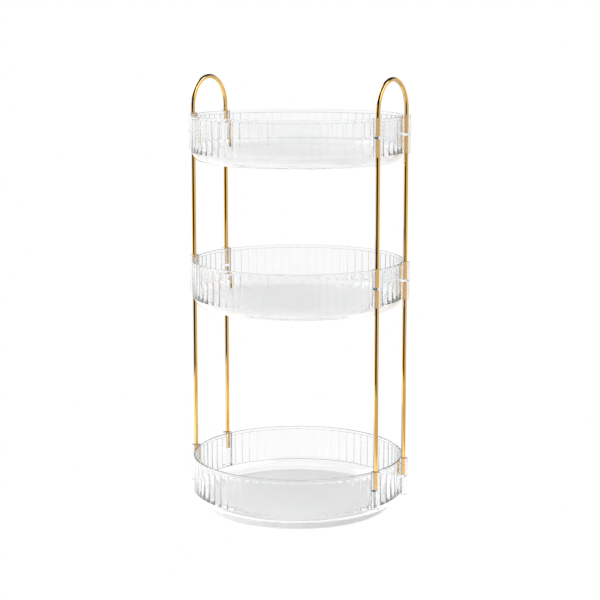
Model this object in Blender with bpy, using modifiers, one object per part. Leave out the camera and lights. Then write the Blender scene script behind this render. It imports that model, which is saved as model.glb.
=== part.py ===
"""Three-tier rotating tray stand.

Three identical clear fluted trays are carried on gold rods, with an arched handle on each side of
the top tray. Every tray has four upright sleeves on the outside of its wall. A thin web closes each
sleeve halfway up, so a rod from above and a rod from below both stop against it. The bottom tray
is bonded to the upper plate of a ball-bearing turntable, whose lower plate stands on rubber pads.

Metres, +Z up. The origin is the centre of the footprint, on the surface that the stand rests on.
The two handles lie on +X and -X.
"""

import math

import bmesh
import bpy
from mathutils import Matrix, Vector

MM = 0.001

# ---- Driving dimensions -------------------------------------------------------------------------
GAP = 0.3 * MM  # between touching pieces

RIM_RADIUS = 110.0 * MM  # outside of the tray's smooth lip, and of the flutes' crests
LOWER_PITCH = 205.3 * MM  # bottom tray to middle tray
UPPER_PITCH = 148.6 * MM  # middle tray to top tray
ROD_CIRCLE = 112.3 * MM  # rods' distance from the axis
ROD_HALF_ANGLE = math.radians(16.0)  # each rod's angle from its handle's middle
ROD_RADIUS = 2.25 * MM
HANDLE_SPRING_RISE = 6.4 * MM  # from the top rim to where the arch begins

# ---- Tray, measured up from its own underside ---------------------------------------------------
TRAY_HEIGHT = 47.6 * MM
WALL_BOTTOM = 10.4 * MM  # below this the flutes end and the dish rounds inwards
PLASTIC = 2.4 * MM
LIP_HEIGHT = 3.0 * MM
FLUTES = 72
FLUTE_DEPTH = 0.7 * MM
FOOT_RADIUS = 98.0 * MM  # where the rounded edge meets the flat underside
CORNER_STEPS = 3

SLEEVE_RADIUS = 4.5 * MM
SLEEVE_TOP = TRAY_HEIGHT + 1.0 * MM
SLEEVE_BOTTOM = WALL_BOTTOM - 0.3 * MM
SOCKET_RADIUS = ROD_RADIUS + 0.35 * MM
WEB_MIDDLE = TRAY_HEIGHT - 18.4 * MM
WEB_THICKNESS = 2.4 * MM
SLEEVE_SIDES = 20
ROD_SIDES = 16
PAD_SIDES = 16

# ---- Turntable, measured up from the table ------------------------------------------------------
BASE_HEIGHT = 7.6 * MM  # underside of the bottom tray
BASE_RADIUS = 96.5 * MM
BASE_RIM_INNER = 91.5 * MM
BASE_UNDERSIDE = 0.9 * MM
BASE_DECK = 2.7 * MM
PLATE_STEPS = 48

UPPER_RADIUS = 90.3 * MM
UPPER_TOP = BASE_HEIGHT - GAP
UPPER_UNDERSIDE = 4.7 * MM

BALLS = 12
BALL_RADIUS = 1.5 * MM
BALL_CIRCLE = 60.0 * MM
BALL_HEIGHT = (BASE_DECK + UPPER_UNDERSIDE) / 2
RACE_HALF_WIDTH = 1.8 * MM
RACE_FLAT_HALF = 0.8 * MM

CAGE_HALF_WIDTH = 3.5 * MM
CAGE_HALF_HEIGHT = 0.7 * MM
CAGE_POCKET_RADIUS = BALL_RADIUS + 0.5 * MM
CAGE_POCKET_SIDES = 8

HUB_RADIUS = 4.0 * MM
HUB_HOLE_RADIUS = HUB_RADIUS + GAP
HUB_BOTTOM = 2.9 * MM
WELL_RADIUS = 14.0 * MM  # the recess under the deck that hides the screw and washer
WELL_CEILING = 3.1 * MM
WELL_DECK = 4.3 * MM
WASHER_RADIUS = 8.0 * MM
WASHER_TOP = HUB_BOTTOM - GAP
WASHER_THICKNESS = 0.5 * MM
SCREW_RADIUS = 1.5 * MM
SCREW_HEAD_RADIUS = 2.9 * MM
SCREW_HEAD_BOTTOM = 0.7 * MM
SCREW_TIP = 5.8 * MM
SCREW_HOLE_RADIUS = SCREW_RADIUS + GAP

FEET = 6
FOOT_PAD_RADIUS = 6.0 * MM
FOOT_PAD_CIRCLE = 82.0 * MM
FOOT_PAD_HEIGHT = 1.3 * MM

TRAY_LEVELS = {
    "bottom_tray": BASE_HEIGHT,
    "middle_tray": BASE_HEIGHT + LOWER_PITCH,
    "top_tray": BASE_HEIGHT + LOWER_PITCH + UPPER_PITCH,
}
ROD_PLACES = {
    "right_front": -ROD_HALF_ANGLE,
    "right_rear": ROD_HALF_ANGLE,
    "left_rear": math.pi - ROD_HALF_ANGLE,
    "left_front": math.pi + ROD_HALF_ANGLE,
}


# ---- Scene, materials and small helpers ---------------------------------------------------------
def clear_scene():
    for obj in list(bpy.data.objects):
        bpy.data.objects.remove(obj, do_unlink=True)


def new_collection(name):
    collection = bpy.data.collections.new(name)
    bpy.context.scene.collection.children.link(collection)
    return collection


def new_material(name, colour, roughness, metallic=0.0, transmission=0.0):
    material = bpy.data.materials.new(name)
    material.use_nodes = True
    shader = material.node_tree.nodes["Principled BSDF"]
    shader.inputs["Base Color"].default_value = (*colour, 1.0)
    shader.inputs["Roughness"].default_value = roughness
    shader.inputs["Metallic"].default_value = metallic
    shader.inputs["Transmission Weight"].default_value = transmission
    return material


def add_object(name, data, collection, material=None):
    obj = bpy.data.objects.new(name, data)
    collection.objects.link(obj)
    if material is not None and not obj.data.materials:
        obj.data.materials.append(material)
    return obj


def as_guide(obj):
    """Marks a cutter or another shape that only helps to make a part."""
    obj.hide_render = True
    obj.display_type = "WIRE"
    return obj


def evaluated_mesh(obj):
    """The object's mesh with its modifiers or curve bevel worked out, and its seams welded."""
    graph = bpy.context.evaluated_depsgraph_get()
    mesh = bpy.data.meshes.new_from_object(obj.evaluated_get(graph))
    shape = bmesh.new()
    shape.from_mesh(mesh)
    bmesh.ops.remove_doubles(shape, verts=shape.verts, dist=1e-6)
    shape.to_mesh(mesh)
    shape.free()
    return mesh


def turned_mesh(name, profile, steps, closed=False):
    """The solid swept by a profile of (radius, height) points about Z.

    The profile runs outwards along the top, down the outer side and inwards along the bottom.
    """
    count = len(profile)
    edges = [(i, i + 1) for i in range(count - 1)]
    if closed:
        edges.append((count - 1, 0))
    line = bpy.data.meshes.new(name + "_profile")
    line.from_pydata([(radius, 0.0, height) for radius, height in profile], edges, [])
    obj = add_object(name + "_profile", line, guides)
    screw = obj.modifiers.new("Turn", "SCREW")
    screw.axis = "Z"
    screw.steps = steps
    screw.render_steps = steps
    screw.use_merge_vertices = True
    screw.merge_threshold = 0.01 * MM
    mesh = evaluated_mesh(obj)
    mesh.name = name
    bpy.data.objects.remove(obj)
    return mesh


def cylinders_mesh(name, centres, radius, bottom, top, sides):
    """Upright cylinders of one size at several (x, y) centres, in one mesh."""
    shape = bmesh.new()
    for x, y in centres:
        bmesh.ops.create_cone(
            shape,
            cap_ends=True,
            segments=sides,
            radius1=radius,
            radius2=radius,
            depth=top - bottom,
            matrix=Matrix.Translation((x, y, (bottom + top) / 2)),
        )
    mesh = bpy.data.meshes.new(name)
    shape.to_mesh(mesh)
    shape.free()
    return mesh


def combine(obj, other, operation):
    """Joins another shape to obj, or cuts it away, with a Boolean modifier."""
    modifier = obj.modifiers.new(operation.title(), "BOOLEAN")
    modifier.operation = operation
    modifier.solver = "EXACT"
    modifier.object = other


def on_circle(radius, angle):
    return radius * math.cos(angle), radius * math.sin(angle)


def around(count, radius, first=0.0):
    return [on_circle(radius, first + math.tau * i / count) for i in range(count)]


def quarter_ellipse(centre, semi_axes, start_angle, end_angle, steps):
    """Points of an elliptical arc in the profile plane, both ends included."""
    points = []
    for i in range(steps + 1):
        angle = start_angle + (end_angle - start_angle) * i / steps
        radius = centre[0] + semi_axes[0] * math.cos(angle)
        height = centre[1] + semi_axes[1] * math.sin(angle)
        points.append((radius, height))
    return points


def parent_to(children, empty):
    for child in children:
        child.parent = empty


# ---- Trays --------------------------------------------------------------------------------------
def tray_profile():
    wall_outer = RIM_RADIUS - 0.2 * MM
    foot_corner = quarter_ellipse(
        centre=(FOOT_RADIUS, WALL_BOTTOM - 0.6 * MM),
        semi_axes=(wall_outer - FLUTE_DEPTH - FOOT_RADIUS, WALL_BOTTOM - 0.6 * MM),
        start_angle=0.0,
        end_angle=-math.pi / 2,
        steps=CORNER_STEPS,
    )
    floor_corner = quarter_ellipse(
        centre=(FOOT_RADIUS + 1.0 * MM, WALL_BOTTOM),
        semi_axes=(RIM_RADIUS - PLASTIC - FOOT_RADIUS - 1.3 * MM, WALL_BOTTOM - PLASTIC),
        start_angle=-math.pi / 2,
        end_angle=0.0,
        steps=CORNER_STEPS,
    )
    return [
        (RIM_RADIUS - PLASTIC, TRAY_HEIGHT),
        (RIM_RADIUS, TRAY_HEIGHT),
        (RIM_RADIUS, TRAY_HEIGHT - LIP_HEIGHT),
        (wall_outer, TRAY_HEIGHT - LIP_HEIGHT - 0.6 * MM),
        (wall_outer, WALL_BOTTOM),
        *foot_corner,
        (0.0, 0.0),
        (0.0, PLASTIC),
        *floor_corner,
    ]


def flute_wall(mesh):
    """Presses a groove into every second upright of the wall band, and halves the rest's steps.

    The turned shell has two uprights for each flute, one on its crest and one in its groove. Only
    the fluted band needs both, so elsewhere each groove upright is welded to the one before it.
    """
    band_low = WALL_BOTTOM - 0.1 * MM
    band_high = TRAY_HEIGHT - LIP_HEIGHT - 0.5 * MM
    crest_radius = RIM_RADIUS - 0.3 * MM
    step_angle = math.pi / FLUTES
    shape = bmesh.new()
    shape.from_mesh(mesh)
    smooth_rings = {}
    grooves = []
    for vertex in shape.verts:
        radius = vertex.co.xy.length
        if radius < 1.0 * MM:
            continue
        upright = round(math.atan2(vertex.co.y, vertex.co.x) / step_angle) % (2 * FLUTES)
        in_band = band_low < vertex.co.z < band_high and radius > crest_radius
        if not in_band:
            ring = (round(radius / MM, 3), round(vertex.co.z / MM, 3))
            smooth_rings.setdefault(ring, {})[upright] = vertex
        elif upright % 2 == 0:
            grooves.append(vertex)
    for vertex in grooves:
        pressed = (vertex.co.xy.length - FLUTE_DEPTH) / vertex.co.xy.length
        vertex.co.x *= pressed
        vertex.co.y *= pressed
    welds = {}
    for ring in smooth_rings.values():
        for upright in range(0, 2 * FLUTES, 2):
            welds[ring[upright]] = ring[(upright - 1) % (2 * FLUTES)]
    bmesh.ops.weld_verts(shape, targetmap=welds)
    shape.to_mesh(mesh)
    shape.free()


def make_tray_mesh():
    mesh = turned_mesh("tray_shell", tray_profile(), 2 * FLUTES, closed=True)
    flute_wall(mesh)
    shell = add_object("tray_shell", mesh, guides)
    centres = [on_circle(ROD_CIRCLE, angle) for angle in ROD_PLACES.values()]
    sleeves = add_object(
        "sleeves",
        cylinders_mesh(
            "sleeves", centres, SLEEVE_RADIUS, SLEEVE_BOTTOM, SLEEVE_TOP, SLEEVE_SIDES
        ),
        guides,
    )
    half_web = WEB_THICKNESS / 2
    overrun = 2.0 * MM
    upper = cylinders_mesh(
        "upper_sockets", centres, SOCKET_RADIUS, WEB_MIDDLE + half_web, SLEEVE_TOP + overrun, ROD_SIDES
    )
    lower = cylinders_mesh(
        "lower_sockets", centres, SOCKET_RADIUS, SLEEVE_BOTTOM - overrun, WEB_MIDDLE - half_web, ROD_SIDES
    )
    upper_sockets = as_guide(add_object("upper_sockets", upper, guides))
    lower_sockets = as_guide(add_object("lower_sockets", lower, guides))
    combine(shell, as_guide(sleeves), "UNION")
    combine(shell, upper_sockets, "DIFFERENCE")
    combine(shell, lower_sockets, "DIFFERENCE")
    tray = evaluated_mesh(shell)
    tray.name = "tray"
    bpy.data.objects.remove(shell)
    return tray


def make_trays():
    mesh = make_tray_mesh()
    mesh.materials.clear()
    mesh.materials.append(clear_plastic)
    trays = []
    for name, level in TRAY_LEVELS.items():
        tray = add_object(name, mesh, stand)
        tray.location.z = level
        trays.append(tray)
    return trays


# ---- Rods and handles ---------------------------------------------------------------------------
def make_rod(name, angle, bottom, top):
    length = top - bottom
    mesh = cylinders_mesh(name, [(0.0, 0.0)], ROD_RADIUS, 0.0, length, ROD_SIDES)
    rod = add_object(name, mesh, stand, gold)
    rod.location = (*on_circle(ROD_CIRCLE, angle), bottom)
    chamfer = rod.modifiers.new("Chamfer", "BEVEL")
    chamfer.width = 0.4 * MM
    chamfer.segments = 1
    chamfer.limit_method = "ANGLE"
    chamfer.angle_limit = math.radians(60.0)
    return rod


def make_rods():
    above_web = WEB_MIDDLE + WEB_THICKNESS / 2 + GAP
    below_web = WEB_MIDDLE - WEB_THICKNESS / 2 - GAP
    spans = {
        "lower_rod": (TRAY_LEVELS["bottom_tray"], TRAY_LEVELS["middle_tray"]),
        "upper_rod": (TRAY_LEVELS["middle_tray"], TRAY_LEVELS["top_tray"]),
    }
    rods = []
    for kind, (tray_below, tray_above) in spans.items():
        for place, angle in ROD_PLACES.items():
            rod = make_rod(f"{kind}_{place}", angle, tray_below + above_web, tray_above + below_web)
            rods.append(rod)
    return rods


def make_handle(name, side):
    """A bent rod: two straight legs in the top tray's sleeves, joined by a half circle."""
    arch_radius = ROD_CIRCLE * math.sin(ROD_HALF_ANGLE)
    x = side * ROD_CIRCLE * math.cos(ROD_HALF_ANGLE)
    leg_bottom = TRAY_LEVELS["top_tray"] + WEB_MIDDLE + WEB_THICKNESS / 2 + GAP
    spring = TRAY_LEVELS["top_tray"] + TRAY_HEIGHT + HANDLE_SPRING_RISE
    arch_steps = 14
    points = [Vector((0.0, -arch_radius, leg_bottom))]
    for i in range(arch_steps + 1):
        angle = math.pi - math.pi * i / arch_steps
        y = arch_radius * math.cos(angle)
        points.append(Vector((0.0, y, spring + arch_radius * math.sin(angle))))
    points.append(Vector((0.0, arch_radius, leg_bottom)))
    curve = bpy.data.curves.new(name, "CURVE")
    curve.dimensions = "3D"
    curve.bevel_depth = ROD_RADIUS
    curve.bevel_resolution = 4
    curve.use_fill_caps = True
    spline = curve.splines.new("POLY")
    spline.points.add(len(points) - 1)
    for point, place in zip(spline.points, points):
        point.co = (*place, 1.0)
    handle = add_object(name, curve, stand, gold)
    handle.location.x = x
    return handle


# ---- Turntable ----------------------------------------------------------------------------------
def race(level, depth, outwards):
    """Profile points of a ball groove in a flat face, in the order that the face is drawn."""
    points = [
        (BALL_CIRCLE - RACE_HALF_WIDTH, level),
        (BALL_CIRCLE - RACE_FLAT_HALF, level + depth),
        (BALL_CIRCLE + RACE_FLAT_HALF, level + depth),
        (BALL_CIRCLE + RACE_HALF_WIDTH, level),
    ]
    return points if outwards else points[::-1]


def make_lower_plate():
    groove = BASE_DECK - (BALL_HEIGHT - BALL_RADIUS - GAP)
    rim_top = BASE_HEIGHT - 0.4 * MM
    profile = [
        (BASE_RIM_INNER, rim_top),
        (BASE_RADIUS - 0.6 * MM, rim_top),
        (BASE_RADIUS, rim_top - 0.6 * MM),
        (BASE_RADIUS, BASE_UNDERSIDE + 1.4 * MM),
        (BASE_RADIUS - 1.4 * MM, BASE_UNDERSIDE),
        (WELL_RADIUS + 1.0 * MM, BASE_UNDERSIDE),
        (WELL_RADIUS, WELL_CEILING),
        (HUB_HOLE_RADIUS, WELL_CEILING),
        (HUB_HOLE_RADIUS, WELL_DECK),
        (WELL_RADIUS + 1.0 * MM, WELL_DECK),
        (WELL_RADIUS + 2.0 * MM, BASE_DECK),
        *race(BASE_DECK, -groove, outwards=True),
        (BASE_RIM_INNER, BASE_DECK),
    ]
    mesh = turned_mesh("turntable_lower_plate", profile, PLATE_STEPS, closed=True)
    plate = add_object("turntable_lower_plate", mesh, stand, white_plastic)
    recesses = cylinders_mesh(
        "pad_recesses",
        around(FEET, FOOT_PAD_CIRCLE),
        FOOT_PAD_RADIUS + GAP,
        -1.0 * MM,
        FOOT_PAD_HEIGHT + GAP,
        PAD_SIDES,
    )
    combine(plate, as_guide(add_object("pad_recesses", recesses, guides)), "DIFFERENCE")
    return plate


def make_upper_plate():
    groove = BALL_HEIGHT + BALL_RADIUS + GAP - UPPER_UNDERSIDE
    bore_top = SCREW_TIP + GAP
    profile = [
        (0.0, UPPER_TOP),
        (UPPER_RADIUS - 0.5 * MM, UPPER_TOP),
        (UPPER_RADIUS, UPPER_TOP - 0.5 * MM),
        (UPPER_RADIUS, UPPER_UNDERSIDE),
        *race(UPPER_UNDERSIDE, groove, outwards=False),
        (HUB_RADIUS, UPPER_UNDERSIDE),
        (HUB_RADIUS, HUB_BOTTOM),
        (SCREW_HOLE_RADIUS, HUB_BOTTOM),
        (SCREW_HOLE_RADIUS, bore_top),
        (0.0, bore_top),
    ]
    mesh = turned_mesh("turntable_upper_plate", profile, PLATE_STEPS)
    return add_object("turntable_upper_plate", mesh, stand, white_plastic)


def make_ball_cage():
    profile = [
        (BALL_CIRCLE - CAGE_HALF_WIDTH, BALL_HEIGHT + CAGE_HALF_HEIGHT),
        (BALL_CIRCLE + CAGE_HALF_WIDTH, BALL_HEIGHT + CAGE_HALF_HEIGHT),
        (BALL_CIRCLE + CAGE_HALF_WIDTH, BALL_HEIGHT - CAGE_HALF_HEIGHT),
        (BALL_CIRCLE - CAGE_HALF_WIDTH, BALL_HEIGHT - CAGE_HALF_HEIGHT),
    ]
    mesh = turned_mesh("ball_cage", profile, PLATE_STEPS, closed=True)
    cage = add_object("ball_cage", mesh, stand, cage_plastic)
    pockets = cylinders_mesh(
        "ball_pockets",
        around(BALLS, BALL_CIRCLE),
        CAGE_POCKET_RADIUS,
        BALL_HEIGHT - 2 * BALL_RADIUS,
        BALL_HEIGHT + 2 * BALL_RADIUS,
        CAGE_POCKET_SIDES,
    )
    combine(cage, as_guide(add_object("ball_pockets", pockets, guides)), "DIFFERENCE")
    return cage


def make_balls():
    shape = bmesh.new()
    bmesh.ops.create_uvsphere(shape, u_segments=8, v_segments=6, radius=BALL_RADIUS)
    mesh = bpy.data.meshes.new("bearing_ball")
    shape.to_mesh(mesh)
    shape.free()
    mesh.materials.append(steel)
    balls = []
    for number, place in enumerate(around(BALLS, BALL_CIRCLE), start=1):
        ball = add_object(f"bearing_ball_{number}", mesh, stand)
        ball.location = (*place, BALL_HEIGHT)
        balls.append(ball)
    return balls


def make_pivot_washer():
    profile = [
        (SCREW_HOLE_RADIUS, WASHER_TOP),
        (WASHER_RADIUS, WASHER_TOP),
        (WASHER_RADIUS, WASHER_TOP - WASHER_THICKNESS),
        (SCREW_HOLE_RADIUS, WASHER_TOP - WASHER_THICKNESS),
    ]
    mesh = turned_mesh("pivot_washer", profile, 24, closed=True)
    return add_object("pivot_washer", mesh, stand, steel)


def make_pivot_screw():
    """A pan-head screw driven up through the washer into the upper plate's hub."""
    head_top = WASHER_TOP - WASHER_THICKNESS - GAP
    profile = [
        (0.0, SCREW_TIP),
        (SCREW_RADIUS - 0.4 * MM, SCREW_TIP),
        (SCREW_RADIUS, SCREW_TIP - 0.4 * MM),
        (SCREW_RADIUS, head_top),
        (SCREW_HEAD_RADIUS, head_top),
        (SCREW_HEAD_RADIUS, SCREW_HEAD_BOTTOM + 0.4 * MM),
        (SCREW_HEAD_RADIUS - 0.7 * MM, SCREW_HEAD_BOTTOM),
        (0.0, SCREW_HEAD_BOTTOM),
    ]
    mesh = turned_mesh("pivot_screw", profile, 20)
    screw = add_object("pivot_screw", mesh, stand, steel)
    shape = bmesh.new()
    slot_depth = 0.5 * MM
    for size in ((3.0 * MM, 0.6 * MM), (0.6 * MM, 3.0 * MM)):
        bmesh.ops.create_cube(
            shape,
            size=1.0,
            matrix=Matrix.Translation((0.0, 0.0, SCREW_HEAD_BOTTOM))
            @ Matrix.Diagonal((*size, 2 * slot_depth, 1.0)),
        )
    cross = bpy.data.meshes.new("cross_recess")
    shape.to_mesh(cross)
    shape.free()
    cutter = as_guide(add_object("cross_recess", cross, guides))
    combine(screw, cutter, "DIFFERENCE")
    screw.modifiers[-1].use_self = True
    return screw


def make_feet():
    mesh = cylinders_mesh("foot_pad", [(0.0, 0.0)], FOOT_PAD_RADIUS, 0.0, FOOT_PAD_HEIGHT, PAD_SIDES)
    mesh.materials.append(rubber)
    feet = []
    for number, place in enumerate(around(FEET, FOOT_PAD_CIRCLE), start=1):
        foot = add_object(f"foot_pad_{number}", mesh, stand)
        foot.location = (*place, 0.0)
        feet.append(foot)
    return feet


# ---- Assembly -----------------------------------------------------------------------------------
clear_scene()
stand = new_collection("tiered_tray_stand")
guides = new_collection("cutters_and_guides")

clear_plastic = new_material("clear_plastic", (0.93, 0.94, 0.95), 0.05, transmission=1.0)
white_plastic = new_material("white_plastic", (0.88, 0.88, 0.88), 0.35)
cage_plastic = new_material("cage_plastic", (0.75, 0.76, 0.78), 0.45)
gold = new_material("gold_plating", (0.80, 0.58, 0.28), 0.12, metallic=1.0)
steel = new_material("steel", (0.62, 0.62, 0.64), 0.25, metallic=1.0)
rubber = new_material("rubber", (0.78, 0.78, 0.76), 0.8)

base_pieces = [make_lower_plate(), *make_feet()]
cage_pieces = [make_ball_cage(), *make_balls()]
rack_pieces = [
    make_upper_plate(),
    make_pivot_washer(),
    make_pivot_screw(),
    *make_trays(),
    *make_rods(),
    make_handle("right_handle", 1),
    make_handle("left_handle", -1),
]

base = add_object("base", None, stand)
ball_ring_axis = add_object("ball_ring_axis", None, stand)
turntable_axis = add_object("turntable_axis", None, stand)
ball_ring_axis.parent = base
turntable_axis.parent = base
parent_to(base_pieces, base)
parent_to(cage_pieces, ball_ring_axis)
parent_to(rack_pieces, turntable_axis)
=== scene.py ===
"""Looks of the three-tier rotating stand: clear fluted trays on gold rods over a white turntable.

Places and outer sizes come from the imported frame. The trays, rods, handles, lower plate and pads
are rebuilt here with fine surfaces, inside the CAD model's box. The bearing keeps its CAD solids.
"""

import math

import bmesh
import bpy
from mathutils import Matrix, Vector


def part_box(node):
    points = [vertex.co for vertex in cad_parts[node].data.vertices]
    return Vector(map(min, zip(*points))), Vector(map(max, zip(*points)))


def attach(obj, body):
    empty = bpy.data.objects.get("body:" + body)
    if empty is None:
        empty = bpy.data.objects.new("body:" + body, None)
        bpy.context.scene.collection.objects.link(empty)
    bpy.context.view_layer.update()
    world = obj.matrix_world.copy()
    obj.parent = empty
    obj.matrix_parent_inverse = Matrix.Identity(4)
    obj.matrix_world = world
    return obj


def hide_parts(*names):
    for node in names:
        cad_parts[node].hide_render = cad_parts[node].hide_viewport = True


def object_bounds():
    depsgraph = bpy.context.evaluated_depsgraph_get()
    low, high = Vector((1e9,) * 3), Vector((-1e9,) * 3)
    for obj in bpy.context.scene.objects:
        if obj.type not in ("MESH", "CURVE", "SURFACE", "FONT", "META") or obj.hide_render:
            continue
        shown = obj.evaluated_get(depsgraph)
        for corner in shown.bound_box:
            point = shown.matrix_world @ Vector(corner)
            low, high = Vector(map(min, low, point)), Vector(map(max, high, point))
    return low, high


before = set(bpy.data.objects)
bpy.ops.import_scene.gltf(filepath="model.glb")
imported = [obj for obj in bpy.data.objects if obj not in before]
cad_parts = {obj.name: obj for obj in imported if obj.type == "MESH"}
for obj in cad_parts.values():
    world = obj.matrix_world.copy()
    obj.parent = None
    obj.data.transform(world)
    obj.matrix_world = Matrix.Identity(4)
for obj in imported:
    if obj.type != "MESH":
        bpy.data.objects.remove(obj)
cad_low, cad_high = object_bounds()

MM = 0.001

# ---- Read from the frame ------------------------------------------------------------------------
TRAYS = ("bottom_tray", "middle_tray", "top_tray")
HANDLES = ("left_handle", "right_handle")
RODS = sorted(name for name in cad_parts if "_rod_" in name)
BALLS = sorted(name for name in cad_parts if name.startswith("bearing_ball_"))
FEET = sorted(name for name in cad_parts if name.startswith("foot_pad_"))


def node_size(name):
    low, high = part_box(name)
    return high - low


def node_centre(name):
    low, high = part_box(name)
    return (low + high) / 2


SLEEVE_RISE = 1.0 * MM
RIM_RADIUS = node_size("bottom_tray").y / 2
TRAY_HEIGHT = node_size("bottom_tray").z - SLEEVE_RISE
ROD_PLACES = [node_centre(name).xy for name in RODS if name.startswith("upper_rod_")]
ROD_RADIUS = node_size("left_handle").x / 2

# ---- Tray, measured up from its own underside ---------------------------------------------------
FLUTES = 72
FLUTE_STATIONS = (0.0, 0.02, 0.04, 0.06, 0.2, 0.35, 0.5, 0.65, 0.8, 0.94, 0.96, 0.98)
FLUTE_BULGE = 0.18 * MM
GROOVE_DEPTH = 0.2 * MM
GROOVE_SHARE = 0.06  # half of a groove's width, as a share of the flutes' pitch
FLUTE_DEPTH = FLUTE_BULGE + GROOVE_DEPTH
FLUTE_CREST = RIM_RADIUS - 0.35 * MM
INNER_RADIUS = RIM_RADIUS - 2.4 * MM
LIP_BOTTOM = TRAY_HEIGHT - 3.0 * MM
FLUTE_TOP = LIP_BOTTOM - 0.3 * MM
FLUTE_BOTTOM = 10.4 * MM
FLUTE_END = 0.4 * MM  # the height over which a flute rounds off at its lower end
FLOOR_TOP = 2.4 * MM
FOOT_RADIUS = 98.0 * MM
FOOT_STEP = 0.6 * MM  # how far the dish steps in below the flutes
FOOT_DROP = 3.4 * MM  # how far in the dish's side leans before it rounds under
FROSTED_RADIUS = 94.0 * MM
SLEEVE_RADIUS = 4.5 * MM
SOCKET_RADIUS = ROD_RADIUS + 0.35 * MM
SLEEVE_BOTTOM = FLUTE_BOTTOM - 0.3 * MM
WEB_MIDDLE = TRAY_HEIGHT - 18.4 * MM
WEB_HALF = 1.2 * MM
SOCKET_LEAD = 0.35 * MM
WALL_BANDS = 8  # rings between the lip and the flutes' lower ends
FLUTE_END_STEPS = 4
LAST_RING_RISE = 0.001 * MM  # keeps a flute's last ring above SLEEVE_BOTTOM
FLOOR_RINGS = (60.0 * MM, 20.0 * MM)  # radii of the rings that divide the flat floor
GATE_RADIUS = 2.2 * MM  # the mark that the mould's gate leaves under the floor
GATE_DEPTH = 0.35 * MM
GATE_SLOPE = 0.4 * MM
PIP_RADIUS = 0.8 * MM  # the small pip in the middle of the gate's mark
PIP_DEPTH = 0.05 * MM
COVE_START = 0.4 * MM  # how far inside FOOT_RADIUS the floor starts to rise
COVE_BEND_IN = 1.75 * MM
COVE_BEND_RISE = 0.8 * MM
COVE_WALL = 2.25 * MM
COVE_RISE = 0.9 * MM

# ---- Turntable's lower plate --------------------------------------------------------------------
PLATE_RIM_WIDTH = 5.0 * MM
PLATE_DECK = 1.8 * MM
HUB_RADIUS = 14.0 * MM
HUB_SLOPE = 1.0 * MM
HUB_BORE_RADIUS = 4.3 * MM
HUB_BOTTOM = 3.1 * MM
HUB_TOP = 4.3 * MM
BALL_CIRCLE = 60.0 * MM
RACE_HALF = 0.8 * MM
RACE_SLOPE = 1.0 * MM
RACE_DEPTH = 0.8 * MM

# ---- How finely round shapes are divided --------------------------------------------------------
ROD_SIDES = 40
ARCH_STEPS = 56
SLEEVE_SIDES = 48
SOCKET_SIDES = 40
PLATE_SIDES = 192
PAD_SIDES = 40
RECESS_SIDES = 32
FLOOR_SIDES = 128


# ---- Mesh helpers -------------------------------------------------------------------------------
def rounded(points, radii, steps=4):
    """The outline through (radius, height) points, with each corner turned into an arc.

    radii holds a fillet radius for each point. The first and last points stay as they are.
    """
    outline = [points[0]]
    for i in range(1, len(points) - 1):
        corner, fillet = Vector(points[i]), radii[i]
        to_last = (Vector(points[i - 1]) - corner).normalized()
        to_next = (Vector(points[i + 1]) - corner).normalized()
        half_turn = to_last.angle(to_next) / 2
        if fillet < 1e-6 or abs(half_turn - math.pi / 2) < 1e-3:
            outline.append(points[i])
            continue
        centre = corner + (to_last + to_next).normalized() * (fillet / math.sin(half_turn))
        reach = fillet / math.tan(half_turn)
        start, end = corner + to_last * reach - centre, corner + to_next * reach - centre
        sweep = math.pi - 2 * half_turn
        for k in range(steps + 1):
            share = k / steps
            blend_start = math.sin((1 - share) * sweep) / math.sin(sweep)
            blend_end = math.sin(share * sweep) / math.sin(sweep)
            outline.append(tuple(centre + start * blend_start + end * blend_end))
    outline.append(points[-1])
    return outline


def bent(start, towards, end, steps):
    """A smooth bend from start to end that leaves and arrives along the lines through towards."""
    start, towards, end = Vector(start), Vector(towards), Vector(end)
    shares = [i / steps for i in range(steps + 1)]
    return [tuple(start * (1 - t) ** 2 + towards * 2 * t * (1 - t) + end * t * t) for t in shares]


def lathe(name, outline, columns, closed=False, radius_at=None):
    """A mesh turned about Z. The outline runs down the outer side, with the solid on its inner side.

    columns is a number of even columns, or a list of their turns, each from 0 to 1.
    radius_at(radius, height, turn) gives the radius of a point at a turn.
    """
    turns = [c / columns for c in range(columns)] if isinstance(columns, int) else columns
    columns = len(turns)
    verts, rings = [], []
    for radius, height in outline:
        if radius < 1e-6:
            rings.append([len(verts)] * columns)
            verts.append((0.0, 0.0, height))
            continue
        rings.append(list(range(len(verts), len(verts) + columns)))
        for turn in turns:
            r = radius_at(radius, height, turn) if radius_at else radius
            verts.append((r * math.cos(math.tau * turn), r * math.sin(math.tau * turn), height))
    faces = []
    pairs = list(zip(rings, rings[1:]))
    if closed:
        pairs.append((rings[-1], rings[0]))
    for upper, lower in pairs:
        for c in range(columns):
            n = (c + 1) % columns
            corners = (upper[c], lower[c], lower[n], upper[n])
            face = tuple(dict.fromkeys(corners))
            if len(face) > 2:
                faces.append(face)
    mesh = bpy.data.meshes.new(name)
    mesh.from_pydata(verts, [], faces)
    mesh.update()
    return mesh


def add_piece(name, mesh, materials=()):
    piece = bpy.data.objects.new(name, mesh)
    bpy.context.scene.collection.objects.link(piece)
    for material in materials:
        piece.data.materials.append(material)
    return piece


def smooth(mesh, sharp_degrees=32.0):
    mesh.shade_smooth()
    mesh.set_sharp_from_angle(angle=math.radians(sharp_degrees))


def evaluated_copy(piece, name):
    graph = bpy.context.evaluated_depsgraph_get()
    mesh = bpy.data.meshes.new_from_object(piece.evaluated_get(graph))
    mesh.name = name
    return mesh


def boolean(piece, other, operation):
    modifier = piece.modifiers.new(operation.title(), "BOOLEAN")
    modifier.operation = operation
    modifier.solver = "EXACT"
    modifier.object = other


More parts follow.
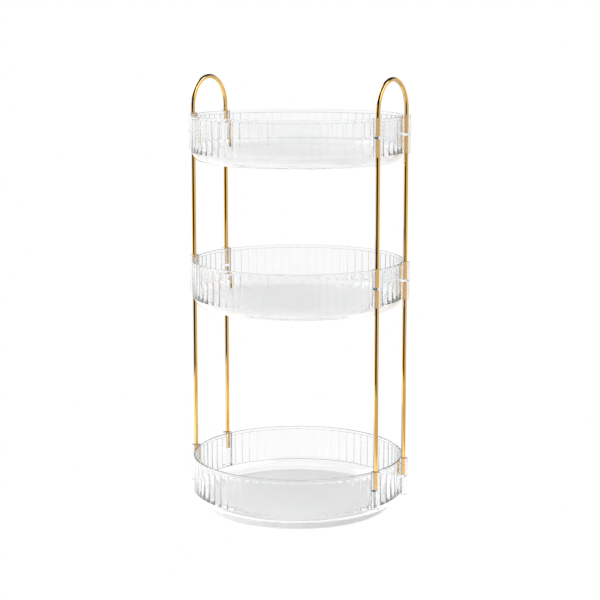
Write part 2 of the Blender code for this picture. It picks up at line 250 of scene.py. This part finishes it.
def joined(name, meshes):
    """One object that holds several meshes, each of them (mesh, matrix)."""
    shape = bmesh.new()
    for mesh, matrix in meshes:
        part = mesh.copy()
        part.transform(matrix)
        shape.from_mesh(part)
        bpy.data.meshes.remove(part)
    whole = bpy.data.meshes.new(name)
    shape.to_mesh(whole)
    shape.free()
    return add_piece(name, whole)


def stand_for(piece, node, body):
    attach(piece, body)
    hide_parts(node)


# ---- Materials ----------------------------------------------------------------------------------
CAUGHT_AFTER = 3  # mirrorings before light counts as caught inside the plastic
# Strength of the painted glow, a faint grey emission, that the clear plastic gives off where light is
# caught inside it.
CAUGHT_PAINTED_GLOW = 0.05


def new_material(name):
    material = bpy.data.materials.new(name)
    material.use_nodes = True
    return material, material.node_tree, material.node_tree.nodes["Principled BSDF"]


def noise(tree, scale, detail=2.0, stretch=(1.0, 1.0, 1.0)):
    """Object-space noise, finer across an axis where stretch is above 1."""
    place = tree.nodes.new("ShaderNodeTexCoord")
    mapping = tree.nodes.new("ShaderNodeMapping")
    mapping.inputs["Scale"].default_value = stretch
    texture = tree.nodes.new("ShaderNodeTexNoise")
    texture.inputs["Scale"].default_value = scale
    texture.inputs["Detail"].default_value = detail
    tree.links.new(place.outputs["Object"], mapping.inputs["Vector"])
    tree.links.new(mapping.outputs["Vector"], texture.inputs["Vector"])
    return texture.outputs["Fac"]


def spread(tree, value, low, high, from_low=0.3, from_high=0.7):
    """Maps a value from a texture's usual range to low..high."""
    mapped = tree.nodes.new("ShaderNodeMapRange")
    mapped.inputs["From Min"].default_value = from_low
    mapped.inputs["From Max"].default_value = from_high
    mapped.inputs["To Min"].default_value = low
    mapped.inputs["To Max"].default_value = high
    tree.links.new(value, mapped.inputs["Value"])
    return mapped.outputs["Result"]


def colours(tree, value, stops):
    """A colour ramp through (position, linear colour) stops."""
    ramp = tree.nodes.new("ShaderNodeValToRGB")
    elements = ramp.color_ramp.elements
    for element, (position, colour) in zip((elements[0], elements[1]), (stops[0], stops[-1])):
        element.position = position
        element.color = (*colour, 1.0)
    for position, colour in stops[1:-1]:
        elements.new(position).color = (*colour, 1.0)
    tree.links.new(value, ramp.inputs["Fac"])
    return ramp.outputs["Color"]


def greys(tree, value, stops):
    return colours(tree, value, [(position, (grey, grey, grey)) for position, grey in stops])


def bump(tree, shader, height, distance):
    node = tree.nodes.new("ShaderNodeBump")
    node.inputs["Distance"].default_value = distance
    tree.links.new(height, node.inputs["Height"])
    tree.links.new(node.outputs["Normal"], shader.inputs["Normal"])


def let_light_through(tree, shader, tint):
    """Shadow rays pass straight through, so that lamps reach what is behind the plastic."""
    output = tree.nodes["Material Output"]
    path = tree.nodes.new("ShaderNodeLightPath")
    clear = tree.nodes.new("ShaderNodeBsdfTransparent")
    clear.inputs["Color"].default_value = (*tint, 1.0)
    mix = tree.nodes.new("ShaderNodeMixShader")
    tree.links.new(path.outputs["Is Shadow Ray"], mix.inputs["Fac"])
    tree.links.new(shader.outputs["BSDF"], mix.inputs[1])
    tree.links.new(clear.outputs["BSDF"], mix.inputs[2])
    tree.links.new(mix.outputs["Shader"], output.inputs["Surface"])


def lift_caught_light(material, tree, shader):
    """Paints a faint grey glow, given off as emission, where light has been mirrored CAUGHT_AFTER
    times inside the plastic.

    The renderer stops following such light soon after, which would leave it black.
    """
    path = tree.nodes.new("ShaderNodeLightPath")
    caught = tree.nodes.new("ShaderNodeMath")
    caught.operation = "GREATER_THAN"
    caught.inputs[1].default_value = CAUGHT_AFTER - 0.5
    # Painted glow: the plastic gives off this faint grey as emission, though it is no lamp.
    grey = tree.nodes.new("ShaderNodeMath")
    grey.operation = "MULTIPLY"
    grey.inputs[1].default_value = CAUGHT_PAINTED_GLOW
    shader.inputs["Emission Color"].default_value = (1.0, 1.0, 1.0, 1.0)
    tree.links.new(path.outputs["Glossy Depth"], caught.inputs[0])
    tree.links.new(caught.outputs["Value"], grey.inputs[0])
    tree.links.new(grey.outputs["Value"], shader.inputs["Emission Strength"])
    material.cycles.emission_sampling = "NONE"


def make_clear_plastic():
    material, tree, shader = new_material("clear_plastic")
    shader.inputs["Transmission Weight"].default_value = 1.0
    shader.inputs["IOR"].default_value = 1.5
    cloud = noise(tree, 60.0, detail=3.0)
    tree.links.new(
        colours(tree, cloud, [(0.3, (0.975, 0.98, 0.985)), (0.7, (0.99, 0.992, 0.995))]),
        shader.inputs["Base Color"],
    )
    tree.links.new(spread(tree, cloud, 0.0, 0.006), shader.inputs["Roughness"])
    flow = noise(tree, 25.0, detail=1.0, stretch=(1.0, 1.0, 0.35))
    bump(tree, shader, flow, 0.05 * MM)
    let_light_through(tree, shader, (0.97, 0.975, 0.98))
    # Painted glow where light is caught inside the clear plastic.
    lift_caught_light(material, tree, shader)
    return material


def make_frosted_plastic():
    material, tree, shader = new_material("frosted_plastic")
    shader.inputs["Transmission Weight"].default_value = 0.7
    shader.inputs["IOR"].default_value = 1.5
    place = tree.nodes.new("ShaderNodeTexCoord")
    flat = tree.nodes.new("ShaderNodeVectorMath")
    flat.operation = "MULTIPLY"
    flat.inputs[1].default_value = (1.0, 1.0, 0.0)
    length = tree.nodes.new("ShaderNodeVectorMath")
    length.operation = "LENGTH"
    tree.links.new(place.outputs["Object"], flat.inputs[0])
    tree.links.new(flat.outputs["Vector"], length.inputs[0])
    outwards = spread(tree, length.outputs["Value"], 0.0, 1.0, 0.0, FROSTED_RADIUS)
    # The light grey is the frosted plastic's own tint. Its darkening towards the middle is painted
    # shade, and its lightening towards the edge is a painted light ring.
    tree.links.new(
        greys(tree, outwards, [(0.0, 0.93), (0.8, 0.95), (1.0, 0.98)]),
        shader.inputs["Base Color"],
    )
    grain = noise(tree, 1400.0, detail=2.0)
    tree.links.new(spread(tree, grain, 0.28, 0.42), shader.inputs["Roughness"])
    bump(tree, shader, grain, 0.03 * MM)
    let_light_through(tree, shader, (0.99, 0.99, 0.99))
    return material


def make_gold():
    material, tree, shader = new_material("gold_plating")
    shader.inputs["Metallic"].default_value = 1.0
    drift = noise(tree, 18.0, detail=3.0)
    tree.links.new(
        colours(tree, drift, [(0.3, (0.80, 0.51, 0.19)), (0.7, (0.85, 0.56, 0.22))]),
        shader.inputs["Base Color"],
    )
    drawn = noise(tree, 260.0, detail=3.0, stretch=(6.0, 6.0, 0.12))
    tree.links.new(spread(tree, drawn, 0.05, 0.09), shader.inputs["Roughness"])
    bump(tree, shader, drawn, 0.0015 * MM)
    return material


def make_white_plastic():
    material, tree, shader = new_material("white_plastic")
    cloud = noise(tree, 30.0, detail=3.0)
    tree.links.new(
        colours(tree, cloud, [(0.3, (0.80, 0.80, 0.80)), (0.7, (0.84, 0.84, 0.84))]),
        shader.inputs["Base Color"],
    )
    shader.inputs["Subsurface Weight"].default_value = 0.15
    shader.inputs["Subsurface Scale"].default_value = 1.0 * MM
    grain = noise(tree, 2200.0, detail=2.0)
    tree.links.new(spread(tree, grain, 0.3, 0.42), shader.inputs["Roughness"])
    bump(tree, shader, grain, 0.02 * MM)
    return material


def make_cage_plastic():
    material, tree, shader = new_material("cage_plastic")
    cloud = noise(tree, 80.0, detail=2.0)
    tree.links.new(
        colours(tree, cloud, [(0.3, (0.50, 0.52, 0.55)), (0.7, (0.56, 0.58, 0.61))]),
        shader.inputs["Base Color"],
    )
    grain = noise(tree, 1800.0, detail=2.0)
    tree.links.new(spread(tree, grain, 0.4, 0.55), shader.inputs["Roughness"])
    bump(tree, shader, grain, 0.03 * MM)
    return material


def make_steel():
    material, tree, shader = new_material("bright_steel")
    shader.inputs["Metallic"].default_value = 1.0
    wear = noise(tree, 900.0, detail=4.0)
    tree.links.new(
        colours(tree, wear, [(0.3, (0.50, 0.50, 0.51)), (0.7, (0.60, 0.60, 0.61))]),
        shader.inputs["Base Color"],
    )
    tree.links.new(spread(tree, wear, 0.16, 0.32), shader.inputs["Roughness"])
    bump(tree, shader, wear, 0.01 * MM)
    return material


def make_rubber():
    material, tree, shader = new_material("soft_rubber")
    grain = noise(tree, 1500.0, detail=3.0)
    tree.links.new(
        colours(tree, grain, [(0.3, (0.55, 0.55, 0.53)), (0.7, (0.62, 0.62, 0.60))]),
        shader.inputs["Base Color"],
    )
    tree.links.new(spread(tree, grain, 0.7, 0.88), shader.inputs["Roughness"])
    bump(tree, shader, grain, 0.05 * MM)
    return material


# ---- Trays --------------------------------------------------------------------------------------
def flute_loss(turn):
    """How far in the fluted wall stands at a turn, from 0 on a crest to FLUTE_DEPTH in a groove."""
    across = abs(2 * ((turn * FLUTES) % 1.0) - 1)
    loss = FLUTE_BULGE * across * across
    from_groove = (1 - across) / 2 / GROOVE_SHARE
    if from_groove < 1:
        loss += GROOVE_DEPTH * (1 + math.cos(math.pi * from_groove)) / 2
    return loss


def tray_radius(radius, height, turn):
    """Draws the wall's outer side in between the flutes' crests."""
    outer_wall = radius > FLUTE_CREST - 0.05 * MM
    if not outer_wall or not SLEEVE_BOTTOM < height < FLUTE_TOP + 0.05 * MM:
        return radius
    loss = flute_loss(turn)
    above_end = (height - SLEEVE_BOTTOM) / FLUTE_END
    if above_end < 1:
        crest_loss = 1 - math.sqrt(1 - (1 - above_end) ** 2)
        loss += (FLUTE_DEPTH - loss) * crest_loss
    return radius - loss


def tray_outline():
    groove_radius = FLUTE_CREST - FLUTE_DEPTH
    lip = rounded(
        [
            (INNER_RADIUS, TRAY_HEIGHT - 2.0 * MM),
            (INNER_RADIUS, TRAY_HEIGHT),
            (RIM_RADIUS, TRAY_HEIGHT),
            (RIM_RADIUS, LIP_BOTTOM),
            (FLUTE_CREST, LIP_BOTTOM - 0.25 * MM),
        ],
        [0, 0.7 * MM, 0.7 * MM, 0.15 * MM, 0],
    )
    flutes = [(FLUTE_CREST, FLUTE_TOP)]
    for i in range(1, WALL_BANDS + 1):
        fall = (SLEEVE_BOTTOM + FLUTE_END - FLUTE_TOP) * i / WALL_BANDS
        flutes.append((FLUTE_CREST, FLUTE_TOP + fall))
    for i in range(1, FLUTE_END_STEPS + 1):
        angle = math.pi / 2 * i / FLUTE_END_STEPS
        drop = FLUTE_END * math.sin(angle)
        flutes.append((FLUTE_CREST, SLEEVE_BOTTOM + (FLUTE_END - drop) + LAST_RING_RISE))
    foot_top = groove_radius - FOOT_STEP
    foot = [(groove_radius - 0.05 * MM, SLEEVE_BOTTOM)] + bent(
        (foot_top, SLEEVE_BOTTOM - 0.1 * MM),
        (foot_top - FOOT_DROP, 1.0 * MM),
        (FOOT_RADIUS, 0.0),
        12,
    )
    under = [(radius, 0.0) for radius in (FROSTED_RADIUS, *FLOOR_RINGS, GATE_RADIUS)]
    gate = [
        (GATE_RADIUS - GATE_SLOPE, GATE_DEPTH),
        (PIP_RADIUS + 0.1 * MM, GATE_DEPTH),
        (PIP_RADIUS, PIP_DEPTH),
        (0.0, 0.0),
    ]
    floor = [(radius, FLOOR_TOP) for radius in (0.0, *reversed(FLOOR_RINGS), FROSTED_RADIUS)]
    cove = bent(
        (FOOT_RADIUS - COVE_START, FLOOR_TOP),
        (foot_top - FOOT_DROP - COVE_BEND_IN, FLOOR_TOP + COVE_BEND_RISE),
        (foot_top - COVE_WALL, SLEEVE_BOTTOM + COVE_RISE),
        10,
    )
    cove += [
        (INNER_RADIUS - 0.5 * MM, SLEEVE_BOTTOM + 2.6 * MM),
        (INNER_RADIUS, SLEEVE_BOTTOM + 4.6 * MM),
    ]
    return lip + flutes + foot + under + gate + floor + cove


def make_sleeve_mesh():
    outline = rounded(
        [
            (0.0, TRAY_HEIGHT + SLEEVE_RISE),
            (SLEEVE_RADIUS, TRAY_HEIGHT + SLEEVE_RISE),
            (SLEEVE_RADIUS, SLEEVE_BOTTOM),
            (0.0, SLEEVE_BOTTOM),
        ],
        [0, 0.5 * MM, 0.5 * MM, 0],
    )
    return lathe("sleeve", outline, SLEEVE_SIDES)


def make_socket_mesh(blind_end, mouth):
    """A blind socket's cutter with a small lead-in at its mouth, which is its top or its bottom."""
    outwards = 1 if mouth > blind_end else -1
    beyond = mouth + outwards * 2.0 * MM
    points = [
        (0.0, blind_end),
        (SOCKET_RADIUS, blind_end),
        (SOCKET_RADIUS, mouth - outwards * SOCKET_LEAD),
        (SOCKET_RADIUS + SOCKET_LEAD, mouth),
        (SOCKET_RADIUS + SOCKET_LEAD, beyond),
        (0.0, beyond),
    ]
    if outwards > 0:
        points.reverse()
    return lathe("socket", points, SOCKET_SIDES)


def make_tray_mesh(clear, frosted):
    """One tray: the fluted dish, united with its sleeves and cut by their sockets."""
    outline = tray_outline()
    turns = [(flute + share) / FLUTES for flute in range(FLUTES) for share in FLUTE_STATIONS]
    shell = lathe("tray_shell", outline, turns, closed=True, radius_at=tray_radius)
    dish = add_piece("tray_shell", shell, (clear, frosted))
    for face in shell.polygons:
        if face.center.xy.length < FROSTED_RADIUS and abs(face.normal.z) > 0.5:
            face.material_index = 1
    at_rods = [Matrix.Translation((*place, 0.0)) for place in ROD_PLACES]
    sleeve = make_sleeve_mesh()
    top_socket = make_socket_mesh(WEB_MIDDLE + WEB_HALF, TRAY_HEIGHT + SLEEVE_RISE)
    bottom_socket = make_socket_mesh(WEB_MIDDLE - WEB_HALF, SLEEVE_BOTTOM)
    sleeves = joined("sleeves", [(sleeve, place) for place in at_rods])
    sockets = joined("sockets", [(m, place) for m in (top_socket, bottom_socket) for place in at_rods])
    boolean(dish, sleeves, "UNION")
    boolean(dish, sockets, "DIFFERENCE")
    mesh = evaluated_copy(dish, "tray")
    for helper in (dish, sleeves, sockets):
        bpy.data.objects.remove(helper)
    smooth(mesh)
    return mesh


def make_trays(clear, frosted):
    mesh = make_tray_mesh(clear, frosted)
    for node in TRAYS:
        tray = add_piece(node + "_moulding", mesh)
        tray.location.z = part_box(node)[0].z
        stand_for(tray, node, "rack")


# ---- Rods and handles ---------------------------------------------------------------------------
def make_rods(gold):
    for node in RODS:
        length = node_size(node).z
        outline = rounded(
            [(0.0, length), (ROD_RADIUS, length), (ROD_RADIUS, 0.0), (0.0, 0.0)],
            [0, 0.4 * MM, 0.4 * MM, 0],
        )
        mesh = lathe(node, outline, ROD_SIDES)
        smooth(mesh)
        rod = add_piece(node + "_wire", mesh, (gold,))
        rod.location = (*node_centre(node).xy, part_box(node)[0].z)
        stand_for(rod, node, "rack")


def make_handle(node, gold):
    """A bent rod of one thickness, swept along two straight legs and a half circle."""
    low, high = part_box(node)
    arch_radius = (high.y - low.y) / 2 - ROD_RADIUS
    spring = high.z - ROD_RADIUS - arch_radius
    path = [Vector((0.0, -arch_radius, low.z)), Vector((0.0, -arch_radius, spring - 0.5 * MM))]
    normals = [Vector((0.0, -1.0, 0.0))] * 2
    for i in range(ARCH_STEPS + 1):
        angle = math.pi - math.pi * i / ARCH_STEPS
        outwards = Vector((0.0, math.cos(angle), math.sin(angle)))
        path.append(Vector((0.0, 0.0, spring)) + outwards * arch_radius)
        normals.append(outwards)
    path += [Vector((0.0, arch_radius, spring - 0.5 * MM)), Vector((0.0, arch_radius, low.z))]
    normals += [Vector((0.0, 1.0, 0.0))] * 2
    chamfer = 0.4 * MM
    radii = [ROD_RADIUS] * len(path)
    for end in (0, -1):
        radii[end] = ROD_RADIUS - chamfer
    lift = Vector((0.0, 0.0, chamfer))
    path[1:1] = [path[0] + lift]
    path[-1:-1] = [path[-1] + lift]
    normals[1:1] = [normals[0]]
    normals[-1:-1] = [normals[-1]]
    radii[1:1] = [ROD_RADIUS]
    radii[-1:-1] = [ROD_RADIUS]
    sideways = Vector((1.0, 0.0, 0.0))
    verts, faces = [], []
    for point, outwards, radius in zip(path, normals, radii):
        for s in range(ROD_SIDES):
            angle = math.tau * s / ROD_SIDES
            around = outwards * math.cos(angle) + sideways * math.sin(angle)
            verts.append(point + around * radius)
    for ring in range(len(path) - 1):
        for s in range(ROD_SIDES):
            a = ring * ROD_SIDES + s
            b = ring * ROD_SIDES + (s + 1) % ROD_SIDES
            faces.append((a, b, b + ROD_SIDES, a + ROD_SIDES))
    faces.append(tuple(reversed(range(ROD_SIDES))))
    faces.append(tuple(range(len(verts) - ROD_SIDES, len(verts))))
    mesh = bpy.data.meshes.new(node)
    mesh.from_pydata(verts, [], faces)
    mesh.update()
    fix_normals(mesh)
    smooth(mesh)
    handle = add_piece(node + "_bow", mesh, (gold,))
    handle.location.x = (low.x + high.x) / 2
    stand_for(handle, node, "rack")


def fix_normals(mesh):
    shape = bmesh.new()
    shape.from_mesh(mesh)
    bmesh.ops.recalc_face_normals(shape, faces=shape.faces)
    shape.to_mesh(mesh)
    shape.free()


# ---- Turntable ----------------------------------------------------------------------------------
def make_lower_plate(white):
    low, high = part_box("turntable_lower_plate")
    radius = high.x
    inner = radius - PLATE_RIM_WIDTH
    deck = low.z + PLATE_DECK
    outline = rounded(
        [
            (inner, deck + 2.0 * MM),
            (inner, high.z),
            (radius, high.z),
            (radius, low.z),
            (HUB_RADIUS + HUB_SLOPE, low.z),
            (HUB_RADIUS, HUB_BOTTOM),
            (HUB_BORE_RADIUS, HUB_BOTTOM),
            (HUB_BORE_RADIUS, HUB_TOP),
            (HUB_RADIUS + HUB_SLOPE, HUB_TOP),
            (HUB_RADIUS + 2 * HUB_SLOPE, deck),
            (BALL_CIRCLE - RACE_HALF - RACE_SLOPE, deck),
            (BALL_CIRCLE - RACE_HALF, deck - RACE_DEPTH),
            (BALL_CIRCLE + RACE_HALF, deck - RACE_DEPTH),
            (BALL_CIRCLE + RACE_HALF + RACE_SLOPE, deck),
            (inner, deck),
        ],
        [0, 0.4 * MM, 0.6 * MM, 2.2 * MM, 0.4 * MM, 0.3 * MM, 0.15 * MM, 0.15 * MM, 0.5 * MM, 0.4 * MM,
         0.2 * MM, 0.3 * MM, 0.3 * MM, 0.2 * MM, 0],
        steps=5,
    )
    mesh = lathe("turntable_lower_plate", outline, PLATE_SIDES, closed=True)
    plate = add_piece("turntable_base_disc", mesh, (white,))
    pad_radius = node_size(FEET[0]).x / 2
    recess_outline = [
        (0.0, node_size(FEET[0]).z + 0.3 * MM),
        (pad_radius + 0.3 * MM, node_size(FEET[0]).z + 0.3 * MM),
        (pad_radius + 0.3 * MM, -1.0 * MM),
        (0.0, -1.0 * MM),
    ]
    recess = lathe("recess", recess_outline, RECESS_SIDES)
    places = [Matrix.Translation((*node_centre(foot).xy, 0.0)) for foot in FEET]
    recesses = joined("recesses", [(recess, place) for place in places])
    boolean(plate, recesses, "DIFFERENCE")
    finished = evaluated_copy(plate, "turntable_base_disc")
    bpy.data.objects.remove(recesses)
    bpy.data.objects.remove(plate)
    smooth(finished)
    plate = add_piece("turntable_base_disc", finished)
    stand_for(plate, "turntable_lower_plate", "base")


def make_feet(rubber):
    size = node_size(FEET[0])
    outline = rounded(
        [(0.0, size.z), (size.x / 2, size.z), (size.x / 2, 0.0), (0.0, 0.0)],
        [0, 0.2 * MM, 0.4 * MM, 0],
    )
    mesh = lathe("foot_pad", outline, PAD_SIDES)
    mesh.materials.append(rubber)
    smooth(mesh)
    for node in FEET:
        pad = add_piece(node + "_disc", mesh)
        pad.location = (*node_centre(node).xy, 0.0)
        stand_for(pad, node, "base")


def dress_hidden_nodes(white, cage, steel):
    """The bearing's CAD solids stay as they are, with finished materials."""
    finishes = {
        "turntable_upper_plate": white,
        "ball_cage": cage,
        "pivot_washer": steel,
        "pivot_screw": steel,
    }
    for name in BALLS:
        finishes[name] = steel
    for name, material in finishes.items():
        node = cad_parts[name]
        node.data.materials.clear()
        node.data.materials.append(material)


# ---- Stage, light and camera --------------------------------------------------------------------
CAMERA_AZIMUTH = math.radians(30.14)
CAMERA_PITCH = math.radians(8.60)
CAMERA_DISTANCE = 1.6366
CAMERA_HEIGHT = 0.4961
LENS = 95.93
CAMERA_SHIFT = (0.0035, -0.05)
FLOOR_RADIUS = 0.65

# Light levels, as (degrees round from the photograph's camera, level), positive to its right.
FLOOR_GLOW_NEAR = 1.6
FLOOR_GLOW_FAR = [(-180, 1.6), (-55, 1.6), (-35, 0.7), (60, 0.68), (90, 0.62), (179, 1.0)]
SOFT_WALLS = [
    (-180, 1.03), (-135, 1.05), (-105, 0.9), (-75, 0.7), (-45, 0.55), (-15, 0.45),
    (15, 0.4), (45, 0.42), (75, 0.5), (105, 0.62), (135, 0.88), (179, 1.03),
]
MIRRORED_LOW = [
    (-180, 1.2), (-75, 1.35), (-65, 0.02), (20, 0.02),
    (30, 0.85), (110, 0.75), (150, 0.8), (179, 1.1),
]
MIRRORED_HIGH = [
    (-180, 0.03), (-155, 0.03), (-145, 3.0), (-100, 3.0), (-90, 0.0),
    (25, 0.0), (35, 1.9), (105, 1.9), (115, 0.03), (179, 0.03),
]


def mixed(tree, kind, factor, a, b):
    """Mixes two colours. factor is a number or a socket, and a and b are sockets or greys."""
    node = tree.nodes.new("ShaderNodeMix")
    node.data_type = "RGBA"
    node.blend_type = kind
    if isinstance(factor, float):
        node.inputs["Factor"].default_value = factor
    else:
        tree.links.new(factor, node.inputs["Factor"])
    for name, colour in (("A", a), ("B", b)):
        if isinstance(colour, float):
            node.inputs[name].default_value = (colour, colour, colour, 1.0)
        else:
            tree.links.new(colour, node.inputs[name])
    return node.outputs["Result"]


def turn_about(tree, coordinates):
    """How far round a place stands, and the place itself turned to match.

    0 and 1 are behind the stand and 0.5 is on the photograph's camera side. That side is a fixed
    direction, so nothing here follows the camera in other views.
    """
    place = tree.nodes.new("ShaderNodeTexCoord")
    turn = tree.nodes.new("ShaderNodeMapping")
    turn.inputs["Rotation"].default_value = (0.0, 0.0, math.pi / 2 - CAMERA_AZIMUTH)
    split = tree.nodes.new("ShaderNodeSeparateXYZ")
    angle = tree.nodes.new("ShaderNodeMath")
    angle.operation = "ARCTAN2"
    tree.links.new(place.outputs[coordinates], turn.inputs["Vector"])
    tree.links.new(turn.outputs["Vector"], split.inputs["Vector"])
    tree.links.new(split.outputs["Y"], angle.inputs[0])
    tree.links.new(split.outputs["X"], angle.inputs[1])
    around = spread(tree, angle.outputs["Value"], 0.0, 1.0, -math.pi, math.pi)
    return around, turn.outputs["Vector"]


def round_levels(tree, around, levels):
    """Grey levels round the stand, from (degrees, level) pairs."""
    return greys(tree, around, [(0.5 + degrees / 360, level) for degrees, level in levels])


def rise(degrees):
    """Where an angle above the horizon falls on the scale from straight down, 0, to straight up, 1."""
    return 0.5 + math.sin(math.radians(degrees)) / 2


def make_floor():
    """A pale table. To the camera, also through plastic, it is as white as the backdrop.

    Mirrors see a glow instead, which differs round the stand outside a bright middle.
    """
    outline = [(0.0, 0.0), (FLOOR_RADIUS, 0.0), (FLOOR_RADIUS, -0.01), (0.0, -0.01)]
    mesh = lathe("floor", outline, FLOOR_SIDES)
    material, tree, shader = new_material("pale_floor")
    grain = noise(tree, 40.0, detail=3.0)
    tree.links.new(
        colours(tree, grain, [(0.3, (0.9, 0.9, 0.9)), (0.7, (0.92, 0.92, 0.92))]),
        shader.inputs["Base Color"],
    )
    shader.inputs["Roughness"].default_value = 0.9
    shader.inputs["Emission Color"].default_value = (1.0, 1.0, 1.0, 1.0)
    shader.inputs["Emission Strength"].default_value = 0.2
    path = tree.nodes.new("ShaderNodeLightPath")
    white = tree.nodes.new("ShaderNodeEmission")
    mix = tree.nodes.new("ShaderNodeMixShader")
    seen = tree.nodes.new("ShaderNodeMath")
    seen.operation = "MAXIMUM"
    tree.links.new(path.outputs["Is Camera Ray"], seen.inputs[0])
    tree.links.new(path.outputs["Is Transmission Ray"], seen.inputs[1])
    around, across = turn_about(tree, "Object")
    length = tree.nodes.new("ShaderNodeVectorMath")
    length.operation = "LENGTH"
    tree.links.new(across, length.inputs[0])
    outside = spread(tree, length.outputs["Value"], 0.0, 1.0, 0.2, 0.3)
    far = round_levels(tree, around, FLOOR_GLOW_FAR)
    mirrored = tree.nodes.new("ShaderNodeEmission")
    tree.links.new(mixed(tree, "MIX", outside, FLOOR_GLOW_NEAR, far), mirrored.inputs["Color"])
    lit = tree.nodes.new("ShaderNodeMixShader")
    tree.links.new(path.outputs["Is Glossy Ray"], lit.inputs["Fac"])
    tree.links.new(shader.outputs["BSDF"], lit.inputs[1])
    tree.links.new(mirrored.outputs["Emission"], lit.inputs[2])
    tree.links.new(seen.outputs["Value"], mix.inputs["Fac"])
    tree.links.new(lit.outputs["Shader"], mix.inputs[1])
    tree.links.new(white.outputs["Emission"], mix.inputs[2])
    tree.links.new(mix.outputs["Shader"], tree.nodes["Material Output"].inputs["Surface"])
    floor = add_piece("floor", mesh, (material,))


def make_world():
    """A white studio that darkens towards the front, where the photograph's camera stands.

    Mirrors see a dark front left, a dark ceiling and bright panels to the left and right. Rays
    through plastic see a paler studio that darkens overhead. The camera sees plain white.
    """
    world = bpy.data.worlds.new("studio")
    bpy.context.scene.world = world
    world.use_nodes = True
    tree = world.node_tree
    background = tree.nodes["Background"]
    round_about, direction = turn_about(tree, "Generated")
    split = tree.nodes.new("ShaderNodeSeparateXYZ")
    tree.links.new(direction, split.inputs["Vector"])
    upwards = spread(tree, split.outputs["Z"], 0.0, 1.0, -1.0, 1.0)

    wall_light = round_levels(tree, round_about, SOFT_WALLS)
    wall_height = greys(
        tree, upwards, [(rise(24), 1.0), (rise(28), 0.4), (rise(53), 0.4), (rise(57), 0.0)]
    )
    added = greys(tree, upwards, [(rise(53), 0.0), (rise(57), 1.2)])
    soft = mixed(tree, "ADD", 1.0, mixed(tree, "MULTIPLY", 1.0, wall_light, wall_height), added)

    low_light = round_levels(tree, round_about, MIRRORED_LOW)
    high_light = round_levels(tree, round_about, MIRRORED_HIGH)
    is_high = greys(tree, upwards, [(rise(14), 0.0), (rise(20), 1.0)])
    panels = mixed(tree, "MIX", is_high, low_light, high_light)
    ceiling = greys(tree, upwards, [(rise(52), 1.0), (rise(58), 0.03)])
    sharp = mixed(tree, "MULTIPLY", 1.0, panels, ceiling)

    path = tree.nodes.new("ShaderNodeLightPath")
    reflected = mixed(tree, "MIX", path.outputs["Is Glossy Ray"], soft, sharp)
    overhead = greys(tree, upwards, [(rise(22), 1.0), (rise(38), 0.1)])
    through = mixed(tree, "MULTIPLY", 1.0, mixed(tree, "MIX", 0.6, soft, 0.95), overhead)
    lit = mixed(tree, "MIX", path.outputs["Is Transmission Ray"], reflected, through)
    seen = mixed(tree, "MIX", path.outputs["Is Camera Ray"], lit, 1.0)
    tree.links.new(seen, background.inputs["Color"])


def make_lamp(name, azimuth, elevation, distance, size, power):
    lamp = bpy.data.lights.new(name, "AREA")
    lamp.shape = "DISK"
    lamp.size = size
    lamp.energy = power
    holder = bpy.data.objects.new(name, lamp)
    bpy.context.scene.collection.objects.link(holder)
    a = CAMERA_AZIMUTH + math.radians(azimuth)
    e = math.radians(elevation)
    out = Vector((math.sin(a) * math.cos(e), -math.cos(a) * math.cos(e), math.sin(e)))
    target = Vector((0.0, 0.0, cad_high.z / 2))
    holder.location = target + out * distance
    holder.rotation_mode = "QUATERNION"
    holder.rotation_quaternion = out.to_track_quat("Z", "Y")
    holder.visible_camera = False
    holder.visible_glossy = False
    holder.visible_transmission = False


def make_camera():
    camera = bpy.data.cameras.new("camera")
    camera.lens = LENS
    camera.shift_x, camera.shift_y = CAMERA_SHIFT
    holder = bpy.data.objects.new("camera", camera)
    bpy.context.scene.collection.objects.link(holder)
    a = CAMERA_AZIMUTH
    holder.location = (CAMERA_DISTANCE * math.sin(a), -CAMERA_DISTANCE * math.cos(a), CAMERA_HEIGHT)
    holder.rotation_euler = (math.pi / 2 - CAMERA_PITCH, 0.0, a)
    bpy.context.scene.camera = holder


# ---- Assembly -----------------------------------------------------------------------------------
clear_plastic = make_clear_plastic()
frosted_plastic = make_frosted_plastic()
gold_plating = make_gold()
white_plastic = make_white_plastic()
steel = make_steel()

make_camera()
make_world()
make_lamp("overhead", azimuth=-60, elevation=62, distance=1.6, size=1.2, power=21)
make_floor()

make_trays(clear_plastic, frosted_plastic)
make_rods(gold_plating)
for handle_node in HANDLES:
    make_handle(handle_node, gold_plating)
make_lower_plate(white_plastic)
make_feet(make_rubber())
dress_hidden_nodes(white_plastic, make_cage_plastic(), steel)

bpy.context.scene.view_settings.view_transform = "Standard"

bpy.context.view_layer.update()
